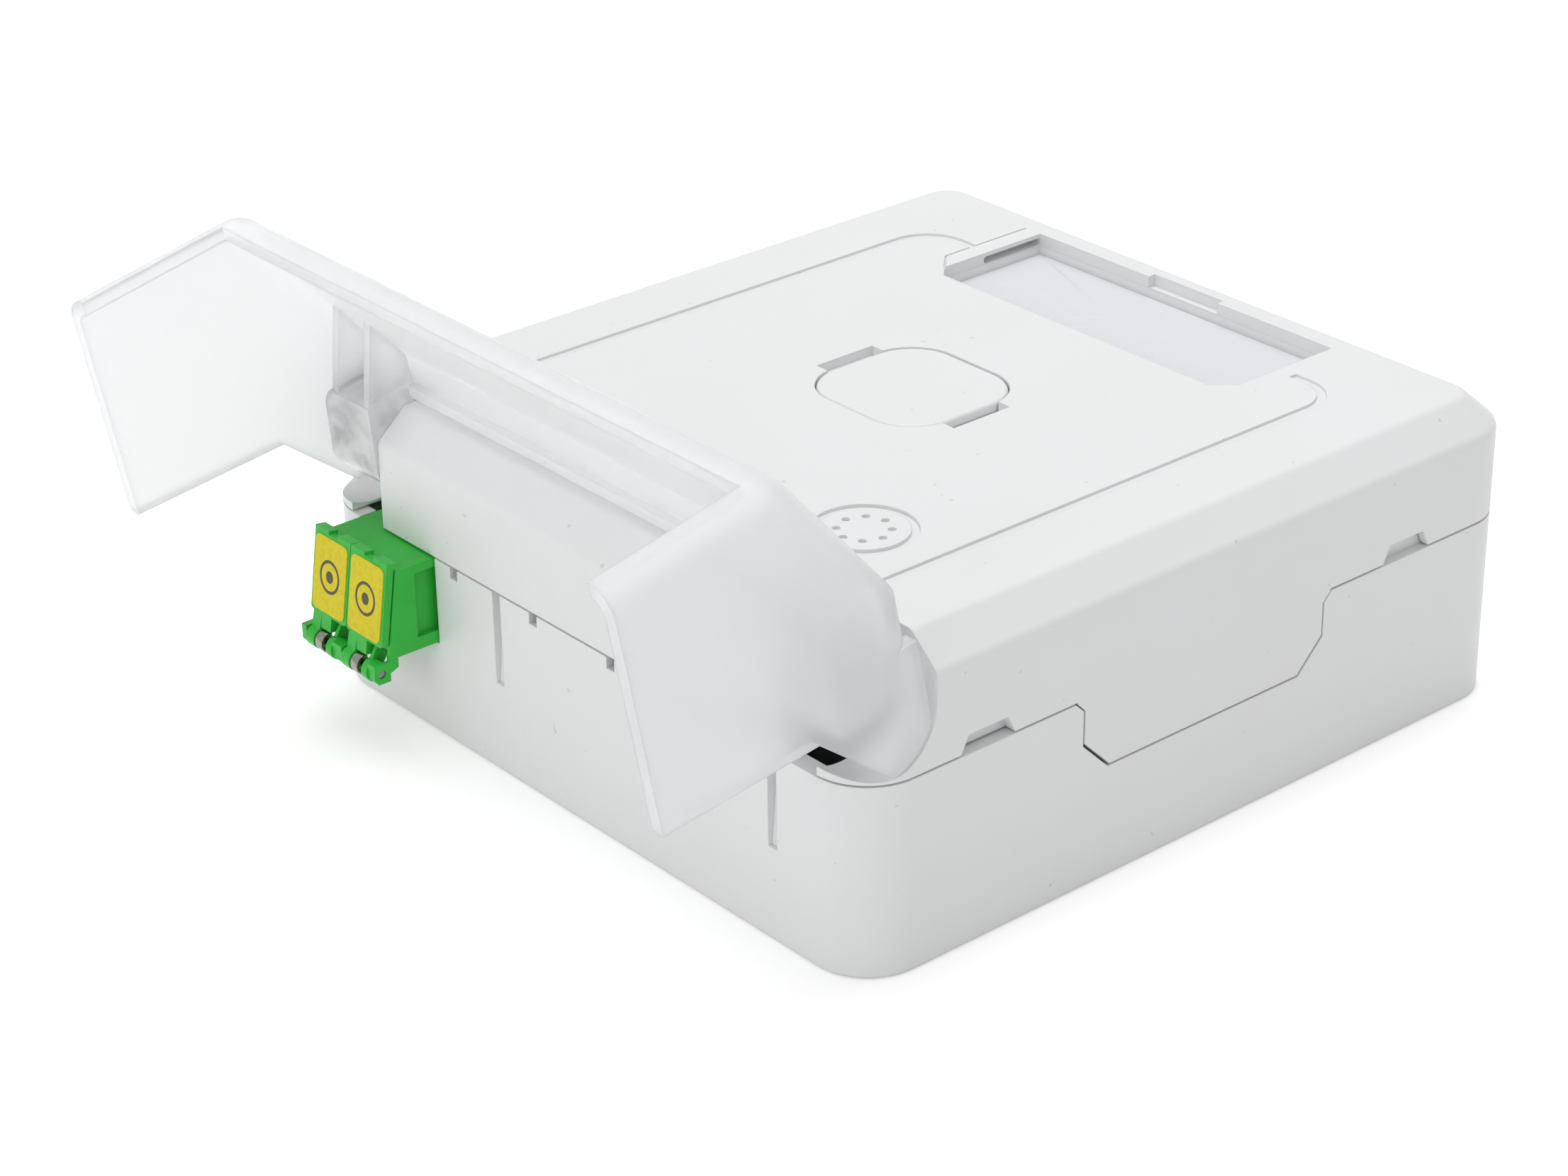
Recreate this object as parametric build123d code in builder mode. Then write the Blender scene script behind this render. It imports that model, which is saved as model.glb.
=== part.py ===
from build123d import *
import os
from math import cos, radians, sin, tan

os.makedirs("parts", exist_ok=True)

# Wall outlet box for optical fibre with a shuttered duplex adapter and a clear flip-up hood.
# Millimetres. The origin is the centre of the wall face, +Z points out of the wall,
# -Y is the connector side, and the hood is modelled as far open as it stands at rest.

# Box
box_width = 84.0
box_depth = 88.0
box_height = 32.5
seam_height = 19.8
corner_radius = 6.1
wall = 2.0
floor_thickness = 2.0
top_thickness = 2.0
edge_drop = 3.1
edge_angle = 48.5
edge_softening = 1.2
seam_gap = 0.2
slip = 0.15

# Rim lip that locates the cover on the base
lip_inset = 1.1
lip_height = 1.2

# Side tongues of the cover, as distances behind the front face
tongue_front = 27.4
tongue_back = 59.5
tongue_low = 12.0
tongue_cut = 3.3
tongue_flare = 1.0

# Pry notches along the side seams
notch_length = 6.8
notch_height = 2.0
notch_depth = 1.3
notch_slant = 1.0
notch_places = (15.2, 71.4)

# Hood
hood_open_angle = 78.0
pivot_back = 2.7
pivot_drop = 6.0
arm_radius = 5.9
arm_gap = 0.3
arm_inset = 0.1
hood_wall = 1.5
hood_edge_radius = 3.0
panel_start_out = 6.0
panel_drop = 0.8
bend_out = 11.1
hood_reach = 28.4
free_top_drop = 4.5
free_low_drop = 23.8
hood_mouth_out = 3.7
hood_mouth_drop = 24.4
throat_out = 2.3
throat_drop = 7.1
lip_reach = 3.0
panel_end_lip = 2.2
arm_tip_out = 7.0
arm_tip_rise = 0.8
hinge_block_width = 7.9
hinge_block_radius = 2.9
hinge_block_reach = 7.2
hinge_block_rise = 4.2
hinge_block_fall = 2.0
rib_reach = 17.0
rib_width = 1.0
pin_radius = 2.0
pin_stub = 2.2
bore_clearance = 0.05
cheek = 2.2
pocket_wall = 1.3
opening_headroom = 1.5

# Front openings beside the skirt of the cover
skirt_edge = 11.4
opening_width = 5.4

# Upright slots and seam notches in the front wall of the base, as distances from its left end
slot_width = 1.2
slot_low = 9.7
slot_places = (30.35, 71.8)
seam_notch_places = (23.3, 36.3, 48.4, 61.1)

# Adapter
adapter_place = 13.7
adapter_border = 0.05
adapter_low = 10.4
adapter_depth_inside = 22.5
adapter_front = 4.6
face_tilt = 8.6
port_pitch = 6.25
port_width = 5.0
port_height = 6.4
port_corner = 0.4
keyway_width = 3.0
keyway_height = 0.7
recess_front = 2.4
recess_back = 7.0
recess_low = 1.35
recess_high = 0.95
recess_depth = 0.6
shutter_thickness = 0.85
shutter_low = 11.8
shutter_height = 8.65
shutter_gap = 0.1
shutter_block_width = 2.3
shutter_block_height = 0.35
shutter_block_reach = 0.3
tongue_width = 3.1
tongue_height = 1.55
hinge_front = 6.9
hinge_height = 9.1
hinge_pin_radius = 0.4
knuckle_radius = 1.15
block_front = 0.9
block_back = 1.0
block_low = 1.05
foot_back = 2.0
foot_low = 0.2
window_width = 1.3
window_rise = 1.0
window_length = 3.0
spring_radius = 1.1
spring_strip = 0.2
spring_width = 1.7
spring_leg = 0.8
sticker_thickness = 0.12
sticker_width = 5.5
sticker_height = 8.0
sticker_corner = 0.7

# Lengths along the hinge pin, from the middle of each port
ear_span = (-3.5, -2.7)
knuckle_span = (-2.55, -1.15)
spring_start = -0.95
barrel_span = (1.0, 1.95)
block_span = (1.95, 3.1)
strip_width = 0.45

# Insert with the alignment sleeves
carrier_depth = 9.0
carrier_back = 7.0
carrier_sheet = 1.6
sleeve_outer = 1.35
sleeve_bore = 1.0
sleeve_length = 7.0
sleeve_slit = 0.3
tube_outer = 2.1

# Top face features
cap_width = 17.0
cap_depth = 16.4
cap_corner = 5.2
cap_thickness = 1.6
cap_gap = 0.15
cap_softening = 0.4
snap_ring = 1.0
snap_depth = 3.0
pry_slot_length = 7.5
pry_slot_width = 1.6
pry_slot_depth = 1.0
groove_width = 1.0
groove_depth = 0.25
groove_inset = 11.8
groove_end = 2.0
groove_radius = 4.5
bay_left_margin = 21.1
bay_right_margin = 20.2
bay_margin = 6.0
bay_length = 15.9
bay_depth = 1.25
left_corner_cut = 1.6
right_corner_cut = 2.2
window_thickness = 1.0
card_thickness = 0.3
bay_slot_length = 8.5
bay_slot_height = 0.8
bay_slot_depth = 1.5
finger_gap_width = 10.0
finger_gap_shift = 0.8
finger_gap_depth = 0.9
hairline_width = 0.2
hairline_depth = 0.2
hairline_shift = 2.3
mark_x = 21.0
mark_back = 19.0
mark_radius = 5.2
mark_groove = 0.8
mark_depth = 0.3
mark_dots = 8

# Cover screw and its post
screw_radius = 1.5
screw_head_radius = 3.0
screw_head_height = 2.0
well_radius = 3.8
boss_radius = 5.6
boss_floor = 2.0
screw_grip = 9.0
head_rounding = 0.4
cross_length = 1.2
cross_width = 0.3
post_height = 17.0
post_radius = 3.6

# Inside of the base
wall_screw_spacing = 60.0
wall_screw_radius = 2.25
wall_screw_head = 1.4
root = 0.5
tray_floor_height = 8.0
tray_side_margin = 16.0
tray_front = 30.0
tray_margin = 5.0
tray_rest = 5.0
tray_corner = 8.0
tray_sheet = 1.2
tray_rim = 4.5
tab_reach = 3.4
tab_width = 5.0
tab_back = 14.0
spool_bend_radius = 15.0
spool_inset = 4.0
spool_margin = 22.0
tray_screw_inset = 5.0
tray_screw_back = 35.0
small_screw_radius = 1.1
small_screw_length = 5.0
small_head_radius = 2.1
small_head_height = 1.3
small_post_radius = 2.8
comb_width = 24.0
comb_depth = 11.0
comb_height = 4.2
comb_slots = 4
comb_slot_width = 3.0
comb_slot_rise = 0.4
clamp_gap = 0.5
clamp_back = 56.0
clamp_depth = 6.0
clamp_thickness = 1.6
clamp_corner = 1.0
clamp_screw_inset = 2.0
clamp_height = 7.0
clamp_post_radius = 2.4
tooth_width = 3.0
tooth_depth = 0.6
tooth_height = 1.0
tooth_spacing = 1.8
entry_margin = 16.0
entry_width = 9.0
entry_length = 15.0
entry_corner = 2.5
cradle_places = (10.0, 18.0)
cradle_thickness = 1.6

# Derived places
front_y = -box_depth / 2
inner_width = box_width - 2 * wall
inner_depth = box_depth - 2 * wall
inner_radius = corner_radius - wall
straight_height = box_height - edge_drop
pivot_y = front_y + pivot_back
pivot_height = box_height - pivot_drop
pocket_radius = arm_radius + arm_gap
skirt_half = box_width / 2 - skirt_edge
arm_inner_x = skirt_half + arm_inset
panel_up = pivot_drop - panel_drop
face_slope = tan(radians(face_tilt))
adapter_x = adapter_place - box_width / 2
adapter_width = 2 * (port_pitch + adapter_border)
adapter_high = seam_height
adapter_mid = (adapter_low + adapter_high) / 2
adapter_back = front_y + adapter_depth_inside
face_high_y = front_y - adapter_front
face_low_y = face_high_y - (adapter_high - adapter_low) * face_slope
hinge_y = front_y - hinge_front
port_centres = [adapter_x + side * port_pitch / 2 for side in (-1, 1)]
carrier_mid = front_y + carrier_back
bay_left = bay_left_margin - box_width / 2
bay_right = box_width / 2 - bay_right_margin
bay_width = bay_right - bay_left
bay_back = box_depth - bay_margin
bay_front = bay_back - bay_length
bay_x = (bay_left + bay_right) / 2
bay_y = front_y + (bay_front + bay_back) / 2
window_top = box_height - bay_depth
card_top = window_top - window_thickness
bay_floor = card_top - card_thickness
cap_seat = box_height - cap_thickness - slip
groove_x = box_width / 2 - groove_inset
groove_turn = (bay_front + bay_back) / 2
tray_width = box_width - 2 * tray_side_margin
tray_screw_x = tray_width / 2 - tray_screw_inset
tray_back = box_depth - tray_margin
spool_length = tray_width - 2 * spool_inset
spool_back = box_depth - spool_margin
clamp_width = box_width / 2 - wall - tray_width / 2 - 2 * clamp_gap
clamp_spacing = clamp_width - 2 * clamp_screw_inset
clamp_x = tray_width / 2 + clamp_gap + clamp_width / 2
entry_x = clamp_x
entry_back = box_depth - entry_margin
hood_out = (0, -cos(radians(hood_open_angle)), sin(radians(hood_open_angle)))
hood_side = Plane(origin=(0, pivot_y, pivot_height), x_dir=hood_out, z_dir=(-1, 0, 0))


def behind(distance):
    """Y of a place that lies this far behind the front face."""
    return front_y + distance


def across(distance):
    """X of a place that lies this far from the left end of the front."""
    return distance - box_width / 2


def tongue_outline(gap):
    """Outline of the cover's side tongue in (Y, Z), grown by a gap for the recess in the base."""
    front = behind(tongue_front) - gap
    back = behind(tongue_back) + gap
    low = tongue_low - gap
    return [
        (front - tongue_flare, seam_height),
        (front, seam_height - tongue_flare),
        (front, low + tongue_cut),
        (front + tongue_cut, low),
        (back - tongue_cut, low),
        (back, low + tongue_cut),
        (back, seam_height - tongue_flare),
        (back + tongue_flare, seam_height),
        (back + tongue_flare, seam_height + lip_height),
        (front - tongue_flare, seam_height + lip_height),
    ]


def bay_outline(shrink):
    """Corners of the label bay with its two cut front corners, shrunk all round."""
    front = behind(bay_front) + shrink
    back = behind(bay_back) - shrink
    return [
        (bay_left + shrink, front + left_corner_cut),
        (bay_left + shrink + left_corner_cut, front),
        (bay_right - shrink - right_corner_cut, front),
        (bay_right - shrink, front + right_corner_cut),
        (bay_right - shrink, back),
        (bay_left + shrink, back),
    ]


# Outer envelope of the closed box, shared by both shells
with BuildPart() as envelope:
    with BuildSketch():
        RectangleRounded(box_width, box_depth, corner_radius)
    extrude(amount=straight_height)
    with BuildSketch(Plane.XY.offset(straight_height)):
        RectangleRounded(box_width, box_depth, corner_radius)
    extrude(amount=edge_drop, taper=edge_angle)
    top_edges = envelope.faces().sort_by(Axis.Z)[-1].edges()
    fillet(top_edges, edge_softening)
    shoulder = envelope.edges().filter_by(lambda e: abs(e.center().Z - straight_height) < 1e-3)
    fillet(shoulder, edge_softening)


# Places of the small posts
tray_posts = [(side * tray_screw_x, behind(tray_screw_back)) for side in (-1, 1)]
tray_rests = [(side * tray_screw_x, behind(tray_back - tray_rest)) for side in (-1, 1)]
clamp_posts = [(clamp_x + side * clamp_spacing / 2, behind(clamp_back)) for side in (-1, 1)]


# Base shell
with BuildPart() as base_shell:
    with BuildSketch():
        RectangleRounded(box_width, box_depth, corner_radius)
    extrude(amount=seam_height)
    with BuildSketch(Plane.XY.offset(floor_thickness)):
        RectangleRounded(inner_width, inner_depth, inner_radius)
    extrude(amount=box_height, mode=Mode.SUBTRACT)
    # locating lip along the back and the rear part of both sides
    with BuildSketch(Plane.XY.offset(seam_height - lip_height)):
        RectangleRounded(box_width - 2 * lip_inset, box_depth - 2 * lip_inset, corner_radius - lip_inset)
        RectangleRounded(inner_width, inner_depth, inner_radius, mode=Mode.SUBTRACT)
        with Locations((0, front_y)):
            Rectangle(box_width, 2 * (tongue_back + 2 * tongue_flare), mode=Mode.SUBTRACT)
    extrude(amount=2 * lip_height)
    # recesses for the side tongues of the cover
    with BuildSketch(Plane.YZ):
        with BuildLine():
            Polyline(*tongue_outline(seam_gap), close=True)
        make_face()
    extrude(amount=box_width, both=True, mode=Mode.SUBTRACT)
    # cut-out for the adapter, open to the rim
    with BuildSketch(Plane.XZ.offset(-front_y)):
        with Locations((adapter_x, adapter_high)):
            Rectangle(adapter_width + 2 * slip, 2 * (adapter_high - adapter_low + slip))
    extrude(amount=-2 * wall, mode=Mode.SUBTRACT)
    # upright slots and small seam notches in the front wall
    with BuildSketch(Plane.XZ.offset(-front_y)):
        for place in slot_places:
            with Locations((across(place), slot_low)):
                Rectangle(slot_width, seam_height, align=(Align.CENTER, Align.MIN))
        for place in seam_notch_places:
            with Locations((across(place), seam_height)):
                Rectangle(slot_width, 2 * slot_width)
    extrude(amount=-2 * wall, mode=Mode.SUBTRACT)
    # posts: cover screw, tray screws and the rest for the rear of the tray, clamp screws
    with BuildSketch(Plane.XY.offset(floor_thickness - root)):
        Circle(post_radius)
    extrude(amount=post_height - floor_thickness + root)
    with Locations((0, 0, post_height)):
        Hole(screw_radius + bore_clearance, depth=post_height - floor_thickness)
    with BuildSketch(Plane.XY.offset(floor_thickness - root)):
        with Locations(*tray_posts, *tray_rests):
            Circle(small_post_radius)
    extrude(amount=tray_floor_height - floor_thickness + root)
    with Locations(*[(x, y, tray_floor_height) for x, y in tray_posts]):
        Hole(small_screw_radius, depth=tray_floor_height - floor_thickness)
    with BuildSketch(Plane.XY.offset(floor_thickness - root)):
        with Locations(*clamp_posts):
            Circle(clamp_post_radius)
    extrude(amount=clamp_height - floor_thickness + root)
    with Locations(*[(x, y, clamp_height) for x, y in clamp_posts]):
        Hole(small_screw_radius, depth=clamp_height - floor_thickness)
    # adapter cradle behind the front wall
    with BuildSketch(Plane.XY.offset(floor_thickness - root)):
        with Locations(*[(adapter_x, behind(place)) for place in cradle_places]):
            Rectangle(adapter_width + 2 * wall, cradle_thickness)
    extrude(amount=adapter_low - floor_thickness + root)
    # wall screw holes and rear cable entry
    with Locations((0, 0, floor_thickness)):
        with GridLocations(wall_screw_spacing, 1, 2, 1):
            CounterSinkHole(
                wall_screw_radius,
                wall_screw_radius + wall_screw_head,
                depth=floor_thickness,
                counter_sink_angle=100,
            )
    with BuildSketch():
        with Locations((entry_x, behind(entry_back))):
            RectangleRounded(entry_width, entry_length, entry_corner)
    extrude(amount=floor_thickness, mode=Mode.SUBTRACT)

base_shell.part.label = "base_shell"
export_step(base_shell.part, "parts/base_shell.step")


# Hollow of the cover, less the blocks that stay solid round the hood pivots, the label bay and the screw
inner_taper_height = box_height - top_thickness - (straight_height - top_thickness / 2)
with BuildPart() as cover_hollow:
    with BuildSketch():
        RectangleRounded(inner_width, inner_depth, inner_radius)
    extrude(amount=straight_height - top_thickness / 2)
    with BuildSketch(Plane.XY.offset(straight_height - top_thickness / 2)):
        RectangleRounded(inner_width, inner_depth, inner_radius)
    extrude(amount=inner_taper_height, taper=edge_angle)
    # pocket blocks round the hood pivots, cut away behind the front openings
    for side in (-1, 1):
        with BuildSketch(Plane.YZ.offset(side * (skirt_half - cheek))):
            with Locations((pivot_y, pivot_height)):
                Circle(pocket_radius + pocket_wall)
        extrude(amount=side * box_width, mode=Mode.SUBTRACT)
        with BuildSketch(Plane.YZ.offset(side * skirt_half)):
            with Locations((front_y + wall, pivot_height - opening_headroom)):
                Rectangle(2 * pocket_radius + pocket_wall, pocket_radius, align=(Align.MIN, Align.MAX))
        extrude(amount=side * opening_width)
    # tub of the label bay
    with BuildSketch(Plane.XY.offset(bay_floor - pocket_wall)):
        with Locations((bay_x, bay_y)):
            Rectangle(bay_width + 2 * pocket_wall, bay_length + 2 * pocket_wall)
    extrude(amount=box_height, mode=Mode.SUBTRACT)
    # seat of the centre cap and the screw boss
    with BuildSketch(Plane.XY.offset(cap_seat - pocket_wall)):
        RectangleRounded(cap_width + 2 * pocket_wall, cap_depth + 2 * pocket_wall, cap_corner)
    extrude(amount=box_height, mode=Mode.SUBTRACT)
    with BuildSketch(Plane.XY.offset(post_height)):
        Circle(boss_radius)
    extrude(amount=box_height, mode=Mode.SUBTRACT)


# Top cover
with BuildPart() as top_cover:
    add(envelope.part)
    with BuildSketch(Plane.YZ):
        with Locations((0, seam_height + seam_gap)):
            Rectangle(2 * box_depth, box_height, align=(Align.CENTER, Align.MIN))
        with BuildLine():
            Polyline(*tongue_outline(0), close=True)
        make_face()
    extrude(amount=box_width, both=True, mode=Mode.INTERSECT)
    add(cover_hollow.part, mode=Mode.SUBTRACT)
    # rebate for the base's lip
    rebate_inset = lip_inset - slip
    with BuildSketch(Plane.XY.offset(seam_height - lip_height)):
        RectangleRounded(
            box_width - 2 * rebate_inset,
            box_depth - 2 * rebate_inset,
            corner_radius - rebate_inset,
        )
        with Locations((0, front_y)):
            Rectangle(box_width, 2 * (tongue_back + tongue_flare + slip), mode=Mode.SUBTRACT)
    extrude(amount=2 * lip_height + slip, mode=Mode.SUBTRACT)
    # pockets for the hood arms, open to the front and the top
    for side in (-1, 1):
        with BuildSketch(Plane.YZ.offset(side * skirt_half)):
            with Locations((pivot_y, pivot_height)):
                Circle(pocket_radius)
                Rectangle(pocket_radius, 2 * pocket_radius, align=(Align.MAX, Align.MIN))
            with BuildLine():
                Polyline(
                    (pivot_y, pivot_height),
                    (pivot_y + pocket_radius, pivot_height),
                    (pivot_y + pocket_radius, 2 * box_height),
                    (pivot_y, 2 * box_height),
                    close=True,
                )
            make_face()
        extrude(amount=side * box_width, mode=Mode.SUBTRACT)
        # bore in the cheek for the pivot pin
        with BuildSketch(Plane.YZ.offset(side * (skirt_half - 2 * cheek))):
            with Locations((pivot_y, pivot_height)):
                Circle(pin_radius + bore_clearance)
        extrude(amount=side * 3 * cheek, mode=Mode.SUBTRACT)
        # front opening between the skirt and the corner post
        with BuildSketch(Plane.XZ.offset(-front_y)):
            with Locations((side * (skirt_half + opening_width / 2), seam_height)):
                Rectangle(opening_width, 2 * (pivot_height - seam_height - opening_headroom))
        extrude(amount=-wall, mode=Mode.SUBTRACT)
    # label bay with cut corners, and the finger gap in its rear rim
    with BuildSketch(Plane.XY.offset(bay_floor)):
        with BuildLine():
            Polyline(*bay_outline(0), close=True)
        make_face()
    extrude(amount=box_height, mode=Mode.SUBTRACT)
    with BuildSketch(Plane.XY.offset(window_top)):
        with Locations((finger_gap_shift, behind(bay_back))):
            Rectangle(finger_gap_width, 2 * finger_gap_depth)
    extrude(amount=box_height, mode=Mode.SUBTRACT)
    # slot in the left wall of the bay, just above the window
    with BuildSketch(Plane.YZ.offset(bay_left - bay_slot_depth)):
        with Locations((behind(bay_back) - bay_slot_length / 2, window_top + bay_slot_height / 2)):
            SlotOverall(bay_slot_length, bay_slot_height)
    extrude(amount=2 * bay_slot_depth, mode=Mode.SUBTRACT)
    # hairline beside the bay, from its cut corner to the back
    with BuildSketch(Plane.XY.offset(box_height - hairline_depth)):
        with BuildLine():
            Polyline(
                (bay_left, behind(bay_front) + left_corner_cut),
                (bay_left - hairline_shift, behind(bay_front) + left_corner_cut + hairline_shift),
                (bay_left - hairline_shift, behind(bay_back)),
            )
        trace(line_width=hairline_width)
    extrude(amount=hairline_depth, mode=Mode.SUBTRACT)
    # seat of the centre cap with its two pry slots
    with BuildSketch(Plane.XY.offset(cap_seat)):
        RectangleRounded(cap_width + 2 * cap_gap, cap_depth + 2 * cap_gap, cap_corner + cap_gap)
    extrude(amount=box_height, mode=Mode.SUBTRACT)
    with BuildSketch(Plane.XY.offset(box_height - pry_slot_depth)):
        with GridLocations(cap_width + pry_slot_width, 1, 2, 1):
            Rectangle(pry_slot_width + 2 * cap_gap, pry_slot_length)
    extrude(amount=box_height, mode=Mode.SUBTRACT)
    # well and hole of the cover screw
    with BuildSketch(Plane.XY.offset(post_height + boss_floor)):
        Circle(well_radius)
    extrude(amount=box_height, mode=Mode.SUBTRACT)
    with BuildSketch(Plane.XY.offset(post_height - 1)):
        Circle(screw_radius + slip)
    extrude(amount=box_height, mode=Mode.SUBTRACT)
    # pry notches along both side seams
    for side in (-1, 1):
        with BuildSketch(Plane.YZ.offset(side * (box_width / 2 - notch_depth))):
            for place in notch_places:
                with BuildLine():
                    Polyline(
                        (behind(place - notch_length / 2), seam_height),
                        (behind(place - notch_length / 2) + notch_slant, seam_height + notch_height),
                        (behind(place + notch_length / 2) - notch_slant, seam_height + notch_height),
                        (behind(place + notch_length / 2), seam_height),
                        close=True,
                    )
                make_face()
        extrude(amount=side * wall, mode=Mode.SUBTRACT)
    # decorative grooves on the top
    with BuildSketch(Plane.XY.offset(box_height - groove_depth)):
        for side, end_x in ((-1, bay_left - hairline_shift), (1, bay_right + groove_end)):
            with BuildLine():
                FilletPolyline(
                    (side * groove_x, behind(edge_drop + groove_end)),
                    (side * groove_x, behind(groove_turn)),
                    (end_x, behind(groove_turn)),
                    radius=groove_radius,
                )
            trace(line_width=groove_width)
    extrude(amount=groove_depth, mode=Mode.SUBTRACT)
    # ring mark engraved in the top
    with BuildSketch(Plane.XY.offset(box_height - mark_depth)):
        with Locations((mark_x, behind(mark_back))):
            Circle(mark_radius)
            Circle(mark_radius - mark_groove, mode=Mode.SUBTRACT)
            with PolarLocations(mark_radius / 2, mark_dots):
                Circle(mark_groove / 2)
    extrude(amount=mark_depth, mode=Mode.SUBTRACT)

top_cover.part.label = "top_cover"
export_step(top_cover.part, "parts/top_cover.step")


# Centre cap with its snap ring
with BuildPart() as centre_cap:
    with BuildSketch(Plane.XY.offset(box_height - cap_thickness)):
        RectangleRounded(cap_width, cap_depth, cap_corner)
    extrude(amount=cap_thickness)
    fillet(centre_cap.faces().sort_by(Axis.Z)[-1].edges(), cap_softening)
    with BuildSketch(Plane.XY.offset(box_height - cap_thickness)):
        Circle(well_radius - slip)
        Circle(well_radius - slip - snap_ring, mode=Mode.SUBTRACT)
    extrude(amount=-snap_depth)
centre_cap.part.label = "centre_cap"
export_step(centre_cap.part, "parts/centre_cap.step")


def pan_screw(name, place, seat, head_r, head_h, shank_r, shank_length):
    """Pan head screw standing on a seat height, with a cross recess in its head."""
    with BuildPart() as screw:
        with BuildSketch(Plane(origin=(*place, seat))):
            Circle(head_r)
        extrude(amount=head_h)
        fillet(screw.faces().sort_by(Axis.Z)[-1].edges(), head_h * head_rounding)
        with BuildSketch(Plane(origin=(*place, seat))):
            Circle(shank_r)
        extrude(amount=-shank_length)
        with BuildSketch(Plane(origin=(*place, seat + head_h / 2))):
            Rectangle(head_r * cross_length, head_r * cross_width)
            Rectangle(head_r * cross_width, head_r * cross_length)
        extrude(amount=head_h, mode=Mode.SUBTRACT)
    screw.part.label = name
    return screw.part


def small_screws(name, places, seat):
    """Pair of small pan head screws on one seat height."""
    shank_r = small_screw_radius - bore_clearance / 2
    screws = [
        pan_screw("screw", place, seat, small_head_radius, small_head_height, shank_r, small_screw_length)
        for place in places
    ]
    return Compound(label=name, children=screws)


cover_screw = pan_screw(
    "cover_screw",
    (0, 0),
    post_height + boss_floor,
    screw_head_radius,
    screw_head_height,
    screw_radius,
    boss_floor + screw_grip,
)
export_step(cover_screw, "parts/cover_screw.step")

tray_screws = small_screws("tray_screws", tray_posts, tray_floor_height + tray_sheet)
export_step(tray_screws, "parts/tray_screws.step")

clamp_screws = small_screws("clamp_screws", clamp_posts, clamp_height + clamp_thickness)
export_step(clamp_screws, "parts/clamp_screws.step")


# Label card and its clear window
with BuildPart() as label_card:
    with BuildSketch(Plane.XY.offset(bay_floor)):
        with BuildLine():
            Polyline(*bay_outline(2 * slip), close=True)
        make_face()
    extrude(amount=card_thickness)
label_card.part.label = "label_card"
export_step(label_card.part, "parts/label_card.step")

with BuildPart() as label_window:
    with BuildSketch(Plane.XY.offset(card_top)):
        with BuildLine():
            Polyline(*bay_outline(slip), close=True)
        make_face()
    extrude(amount=window_thickness)
label_window.part.label = "label_window"
export_step(label_window.part, "parts/label_window.step")


# Clear hood, drawn closed in its own plane: first axis out of the box, second axis away from the wall
out_axis = Vector(*hood_out)
up_axis = hood_side.y_dir
panel_start = Vector(panel_start_out, panel_up)
bend = Vector(bend_out, panel_up)
free_top = Vector(hood_reach, -free_top_drop)
free_low = Vector(hood_reach, -free_low_drop)


def inward(start, end):
    """Unit normal of a hood outline run, pointing to the inside of the hood."""
    run = (end - start).normalized()
    return Vector(run.Y, -run.X)


def mitred(before, corner, after, inset):
    """Corner of the hood outline moved inwards by the wall on both its runs."""
    first = inward(before, corner)
    second = inward(corner, after)
    return corner + (first + second) * (inset / (1 + first.dot(second)))


def hood_form(points, width, radius):
    """Solid of the closed hood's side outline, with its panel and free end edges rounded."""
    with BuildPart() as form:
        with BuildSketch(hood_side.offset(-width / 2)):
            with BuildLine():
                Polyline(*points, close=True)
            make_face()
        extrude(amount=width)
        free_face = form.faces().sort_by(lambda face: face.center().dot(out_axis))[-1]
        low_edge = free_face.edges().sort_by(lambda edge: edge.center().dot(up_axis))[0]
        panel = form.faces().filter_by(lambda face: face.normal_at().dot(up_axis) > 0.5)
        panel_edges = [edge for face in panel for edge in face.edges()]
        side_edges = [edge for face in form.faces().filter_by(Axis.X) for edge in face.edges()]
        soft = [edge for edge in side_edges if any(edge.is_same(other) for other in panel_edges)]
        rim = [edge for edge in free_face.edges() if not edge.is_same(low_edge)]
        fillet(ShapeList(soft + rim), radius)
    return form.part


panel_inset = inward(panel_start, bend) * hood_wall
panel_run = (bend - panel_start).normalized()
hollow_start = panel_start + panel_inset - panel_run * hood_reach
hollow_low = -free_low_drop - hood_reach
hood_outline = [
    panel_start,
    bend,
    free_top,
    free_low,
    (hood_mouth_out, -hood_mouth_drop),
    (throat_out, -throat_drop),
]
hollow_outline = [
    hollow_start,
    mitred(panel_start, bend, free_top, hood_wall),
    mitred(bend, free_top, free_low, hood_wall),
    (hood_reach - hood_wall, hollow_low),
    (hollow_start.X, hollow_low),
]
hood_block = hood_form(hood_outline, box_width, hood_edge_radius)
hood_hollow = hood_form(hollow_outline, box_width - 2 * hood_wall, hood_edge_radius - hood_wall)

panel_slope = (panel_up + free_top_drop) / (hood_reach - bend_out)
rib_end_up = panel_up - (rib_reach - bend_out) * panel_slope
block_face = Plane(origin=(0, pivot_y, pivot_height), x_dir=(1, 0, 0), z_dir=-up_axis)
block_length = hinge_block_radius + hinge_block_reach

# Hinge blocks, rounded at their outer ends
with BuildPart() as hinge_blocks:
    for side in (-1, 1):
        with BuildSketch(hood_side.offset(-side * arm_inner_x)):
            Circle(hinge_block_radius)
            with BuildLine():
                Polyline(
                    (0, hinge_block_radius),
                    (hinge_block_reach, hinge_block_rise),
                    (hinge_block_reach, -hinge_block_fall),
                    (0, -hinge_block_radius),
                    close=True,
                )
            make_face()
        extrude(amount=-side * hinge_block_width)
    with BuildSketch(block_face):
        pocket_middle = block_length / 2 - hinge_block_radius + arm_gap
        with Locations((-arm_inner_x, pocket_middle), (arm_inner_x, pocket_middle)):
            RectangleRounded(2 * hinge_block_width, block_length + 2 * arm_gap, hinge_block_radius)
    extrude(amount=box_width, both=True, mode=Mode.INTERSECT)

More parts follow.
